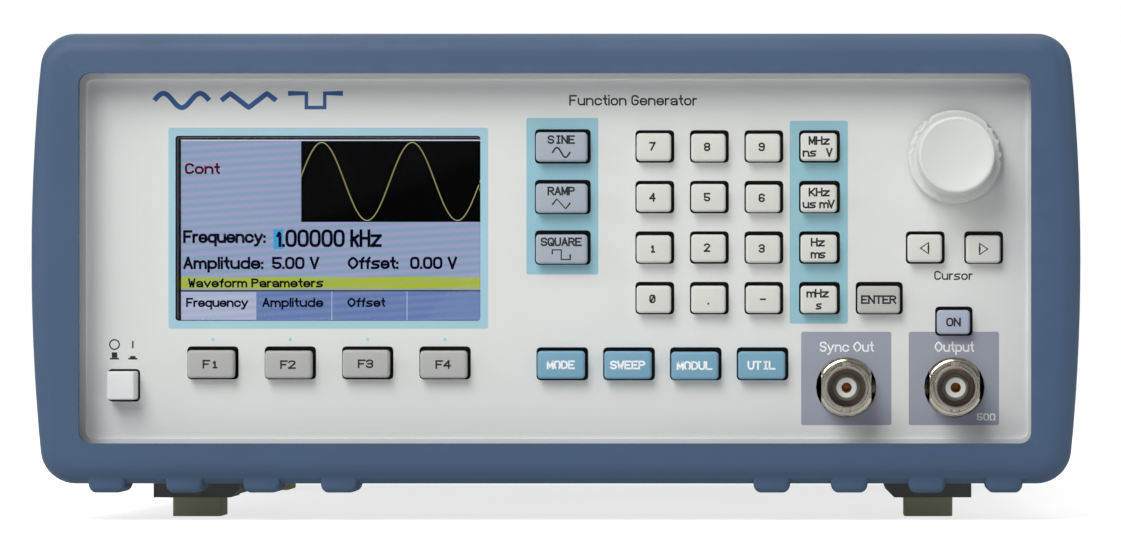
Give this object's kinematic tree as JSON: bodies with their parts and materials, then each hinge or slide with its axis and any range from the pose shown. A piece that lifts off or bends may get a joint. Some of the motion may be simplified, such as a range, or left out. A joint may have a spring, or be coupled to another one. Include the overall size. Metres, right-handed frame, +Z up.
{
  "type": "function generator",
  "caption": "Bench function generator with a colour display, push keys, tuning knob, BNC sockets, rubber bumpers and feet with folding tilt legs.",
  "frame": {"origin": "on the surface it stands on, under the middle of the bounding box", "axes": "+Z up, the front panel faces -Y, +X is to the right as seen from the front"},
  "size_m": [0.228, 0.238, 0.1059],
  "materials": {
    "bumper_rubber": "satin moulded rubber",
    "cover_paint": "fine textured powder coat",
    "chassis_steel": "zinc plated sheet",
    "rear_paint": "fine textured powder coat",
    "panel_plastic": "fine moulded texture, printed",
    "key_white": "satin",
    "key_wave": "satin",
    "key_grey": "satin",
    "key_blue": "satin",
    "key_enter": "satin",
    "key_lilac": "satin",
    "power_key": "satin",
    "black_plastic": "satin",
    "knob_plastic": "satin",
    "shaft_metal": "plated",
    "clear_acrylic": "clear, polished",
    "display_glass": "lit colour screen in a dark frame",
    "circuit_board": "solder mask",
    "supply_parts": "board with transformer, capacitors and heat sink",
    "nickel_plate": "nickel plate",
    "foot_plastic": "matt",
    "leg_plastic": "matt"
  },
  "bodies": {
    "cabinet": {"front_bumper": "bumper_rubber", "rear_bumper": "bumper_rubber", "top_cover": "cover_paint", "base_chassis": "chassis_steel", "rear_panel": "rear_paint", "front_panel": "panel_plastic", "power_switch": "black_plastic", "ac_inlet": "black_plastic", "encoder_body": "shaft_metal", "usb_port": "shaft_metal", "display_window": "clear_acrylic", "display_module": "display_glass", "key_board": "circuit_board", "main_board": "circuit_board", "power_supply": "supply_parts", "bnc_sync": "nickel_plate", "bnc_output": "nickel_plate", "bnc_trigger_in": "nickel_plate", "bnc_modulation_in": "nickel_plate", "front_foot_left": "foot_plastic", "front_foot_right": "foot_plastic", "rear_foot_left": "foot_plastic", "rear_foot_right": "foot_plastic"},
    "key_7": {"key_7": "key_white"},
    "key_8": {"key_8": "key_white"},
    "key_9": {"key_9": "key_white"},
    "key_4": {"key_4": "key_white"},
    "key_5": {"key_5": "key_white"},
    "key_6": {"key_6": "key_white"},
    "key_1": {"key_1": "key_white"},
    "key_2": {"key_2": "key_white"},
    "key_3": {"key_3": "key_white"},
    "key_0": {"key_0": "key_white"},
    "key_point": {"key_point": "key_white"},
    "key_minus": {"key_minus": "key_white"},
    "key_unit_mega": {"key_unit_mega": "key_white"},
    "key_unit_kilo": {"key_unit_kilo": "key_white"},
    "key_unit_hertz": {"key_unit_hertz": "key_white"},
    "key_unit_milli": {"key_unit_milli": "key_white"},
    "key_sine": {"key_sine": "key_wave"},
    "key_ramp": {"key_ramp": "key_wave"},
    "key_square": {"key_square": "key_wave"},
    "key_f1": {"key_f1": "key_grey"},
    "key_f2": {"key_f2": "key_grey"},
    "key_f3": {"key_f3": "key_grey"},
    "key_f4": {"key_f4": "key_grey"},
    "key_mode": {"key_mode": "key_blue"},
    "key_sweep": {"key_sweep": "key_blue"},
    "key_modulation": {"key_modulation": "key_blue"},
    "key_utility": {"key_utility": "key_blue"},
    "key_enter": {"key_enter": "key_enter"},
    "key_output_on": {"key_output_on": "key_lilac"},
    "key_cursor_left": {"key_cursor_left": "key_white"},
    "key_cursor_right": {"key_cursor_right": "key_white"},
    "power_button": {"power_button": "power_key", "power_push_rod": "black_plastic"},
    "tuning_knob": {"tuning_knob": "knob_plastic", "encoder_shaft": "shaft_metal"},
    "tilt_leg_left": {"tilt_leg_left": "leg_plastic"},
    "tilt_leg_right": {"tilt_leg_right": "leg_plastic"}
  },
  "joints": [
    {"name": "power_button_latch", "type": "slide", "parent": "cabinet", "child": "power_button", "axis": [0, 1, 0], "range_m": [-0.003, 0]},
    {"name": "tuning_knob_turn", "type": "hinge", "parent": "cabinet", "child": "tuning_knob", "pos_m": [0.0868, -0.106, 0.0792], "axis": [0, -1, 0], "continuous": true},
    {"name": "tilt_leg_left_swing", "type": "hinge", "parent": "cabinet", "child": "tilt_leg_left", "pos_m": [-0.0815, -0.0706, 0.008], "axis": [-1, 0, 0], "range_deg": [0, 95]},
    {"name": "tilt_leg_right_swing", "type": "hinge", "parent": "cabinet", "child": "tilt_leg_right", "pos_m": [0.0815, -0.0706, 0.008], "axis": [-1, 0, 0], "range_deg": [0, 95]},
    {"name": "key_7_press", "type": "slide", "parent": "cabinet", "child": "key_7", "axis": [0, 1, 0], "range_m": [0, 0.0008], "stiffness_N_per_m": 250, "springref_m": -0.002},
    {"name": "key_8_press", "type": "slide", "parent": "cabinet", "child": "key_8", "axis": [0, 1, 0], "range_m": [0, 0.0008], "stiffness_N_per_m": 250, "springref_m": -0.002},
    {"name": "key_9_press", "type": "slide", "parent": "cabinet", "child": "key_9", "axis": [0, 1, 0], "range_m": [0, 0.0008], "stiffness_N_per_m": 250, "springref_m": -0.002},
    {"name": "key_4_press", "type": "slide", "parent": "cabinet", "child": "key_4", "axis": [0, 1, 0], "range_m": [0, 0.0008], "stiffness_N_per_m": 250, "springref_m": -0.002},
    {"name": "key_5_press", "type": "slide", "parent": "cabinet", "child": "key_5", "axis": [0, 1, 0], "range_m": [0, 0.0008], "stiffness_N_per_m": 250, "springref_m": -0.002},
    {"name": "key_6_press", "type": "slide", "parent": "cabinet", "child": "key_6", "axis": [0, 1, 0], "range_m": [0, 0.0008], "stiffness_N_per_m": 250, "springref_m": -0.002},
    {"name": "key_1_press", "type": "slide", "parent": "cabinet", "child": "key_1", "axis": [0, 1, 0], "range_m": [0, 0.0008], "stiffness_N_per_m": 250, "springref_m": -0.002},
    {"name": "key_2_press", "type": "slide", "parent": "cabinet", "child": "key_2", "axis": [0, 1, 0], "range_m": [0, 0.0008], "stiffness_N_per_m": 250, "springref_m": -0.002},
    {"name": "key_3_press", "type": "slide", "parent": "cabinet", "child": "key_3", "axis": [0, 1, 0], "range_m": [0, 0.0008], "stiffness_N_per_m": 250, "springref_m": -0.002},
    {"name": "key_0_press", "type": "slide", "parent": "cabinet", "child": "key_0", "axis": [0, 1, 0], "range_m": [0, 0.0008], "stiffness_N_per_m": 250, "springref_m": -0.002},
    {"name": "key_point_press", "type": "slide", "parent": "cabinet", "child": "key_point", "axis": [0, 1, 0], "range_m": [0, 0.0008], "stiffness_N_per_m": 250, "springref_m": -0.002},
    {"name": "key_minus_press", "type": "slide", "parent": "cabinet", "child": "key_minus", "axis": [0, 1, 0], "range_m": [0, 0.0008], "stiffness_N_per_m": 250, "springref_m": -0.002},
    {"name": "key_unit_mega_press", "type": "slide", "parent": "cabinet", "child": "key_unit_mega", "axis": [0, 1, 0], "range_m": [0, 0.0008], "stiffness_N_per_m": 250, "springref_m": -0.002},
    {"name": "key_unit_kilo_press", "type": "slide", "parent": "cabinet", "child": "key_unit_kilo", "axis": [0, 1, 0], "range_m": [0, 0.0008], "stiffness_N_per_m": 250, "springref_m": -0.002},
    {"name": "key_unit_hertz_press", "type": "slide", "parent": "cabinet", "child": "key_unit_hertz", "axis": [0, 1, 0], "range_m": [0, 0.0008], "stiffness_N_per_m": 250, "springref_m": -0.002},
    {"name": "key_unit_milli_press", "type": "slide", "parent": "cabinet", "child": "key_unit_milli", "axis": [0, 1, 0], "range_m": [0, 0.0008], "stiffness_N_per_m": 250, "springref_m": -0.002},
    {"name": "key_sine_press", "type": "slide", "parent": "cabinet", "child": "key_sine", "axis": [0, 1, 0], "range_m": [0, 0.0008], "stiffness_N_per_m": 250, "springref_m": -0.002},
    {"name": "key_ramp_press", "type": "slide", "parent": "cabinet", "child": "key_ramp", "axis": [0, 1, 0], "range_m": [0, 0.0008], "stiffness_N_per_m": 250, "springref_m": -0.002},
    {"name": "key_square_press", "type": "slide", "parent": "cabinet", "child": "key_square", "axis": [0, 1, 0], "range_m": [0, 0.0008], "stiffness_N_per_m": 250, "springref_m": -0.002},
    {"name": "key_f1_press", "type": "slide", "parent": "cabinet", "child": "key_f1", "axis": [0, 1, 0], "range_m": [0, 0.0008], "stiffness_N_per_m": 250, "springref_m": -0.002},
    {"name": "key_f2_press", "type": "slide", "parent": "cabinet", "child": "key_f2", "axis": [0, 1, 0], "range_m": [0, 0.0008], "stiffness_N_per_m": 250, "springref_m": -0.002},
    {"name": "key_f3_press", "type": "slide", "parent": "cabinet", "child": "key_f3", "axis": [0, 1, 0], "range_m": [0, 0.0008], "stiffness_N_per_m": 250, "springref_m": -0.002},
    {"name": "key_f4_press", "type": "slide", "parent": "cabinet", "child": "key_f4", "axis": [0, 1, 0], "range_m": [0, 0.0008], "stiffness_N_per_m": 250, "springref_m": -0.002},
    {"name": "key_mode_press", "type": "slide", "parent": "cabinet", "child": "key_mode", "axis": [0, 1, 0], "range_m": [0, 0.0008], "stiffness_N_per_m": 250, "springref_m": -0.002},
    {"name": "key_sweep_press", "type": "slide", "parent": "cabinet", "child": "key_sweep", "axis": [0, 1, 0], "range_m": [0, 0.0008], "stiffness_N_per_m": 250, "springref_m": -0.002},
    {"name": "key_modulation_press", "type": "slide", "parent": "cabinet", "child": "key_modulation", "axis": [0, 1, 0], "range_m": [0, 0.0008], "stiffness_N_per_m": 250, "springref_m": -0.002},
    {"name": "key_utility_press", "type": "slide", "parent": "cabinet", "child": "key_utility", "axis": [0, 1, 0], "range_m": [0, 0.0008], "stiffness_N_per_m": 250, "springref_m": -0.002},
    {"name": "key_enter_press", "type": "slide", "parent": "cabinet", "child": "key_enter", "axis": [0, 1, 0], "range_m": [0, 0.0008], "stiffness_N_per_m": 250, "springref_m": -0.002},
    {"name": "key_output_on_press", "type": "slide", "parent": "cabinet", "child": "key_output_on", "axis": [0, 1, 0], "range_m": [0, 0.0008], "stiffness_N_per_m": 250, "springref_m": -0.002},
    {"name": "key_cursor_left_press", "type": "slide", "parent": "cabinet", "child": "key_cursor_left", "axis": [0, 1, 0], "range_m": [0, 0.0008], "stiffness_N_per_m": 250, "springref_m": -0.002},
    {"name": "key_cursor_right_press", "type": "slide", "parent": "cabinet", "child": "key_cursor_right", "axis": [0, 1, 0], "range_m": [0, 0.0008], "stiffness_N_per_m": 250, "springref_m": -0.002}
  ]
}
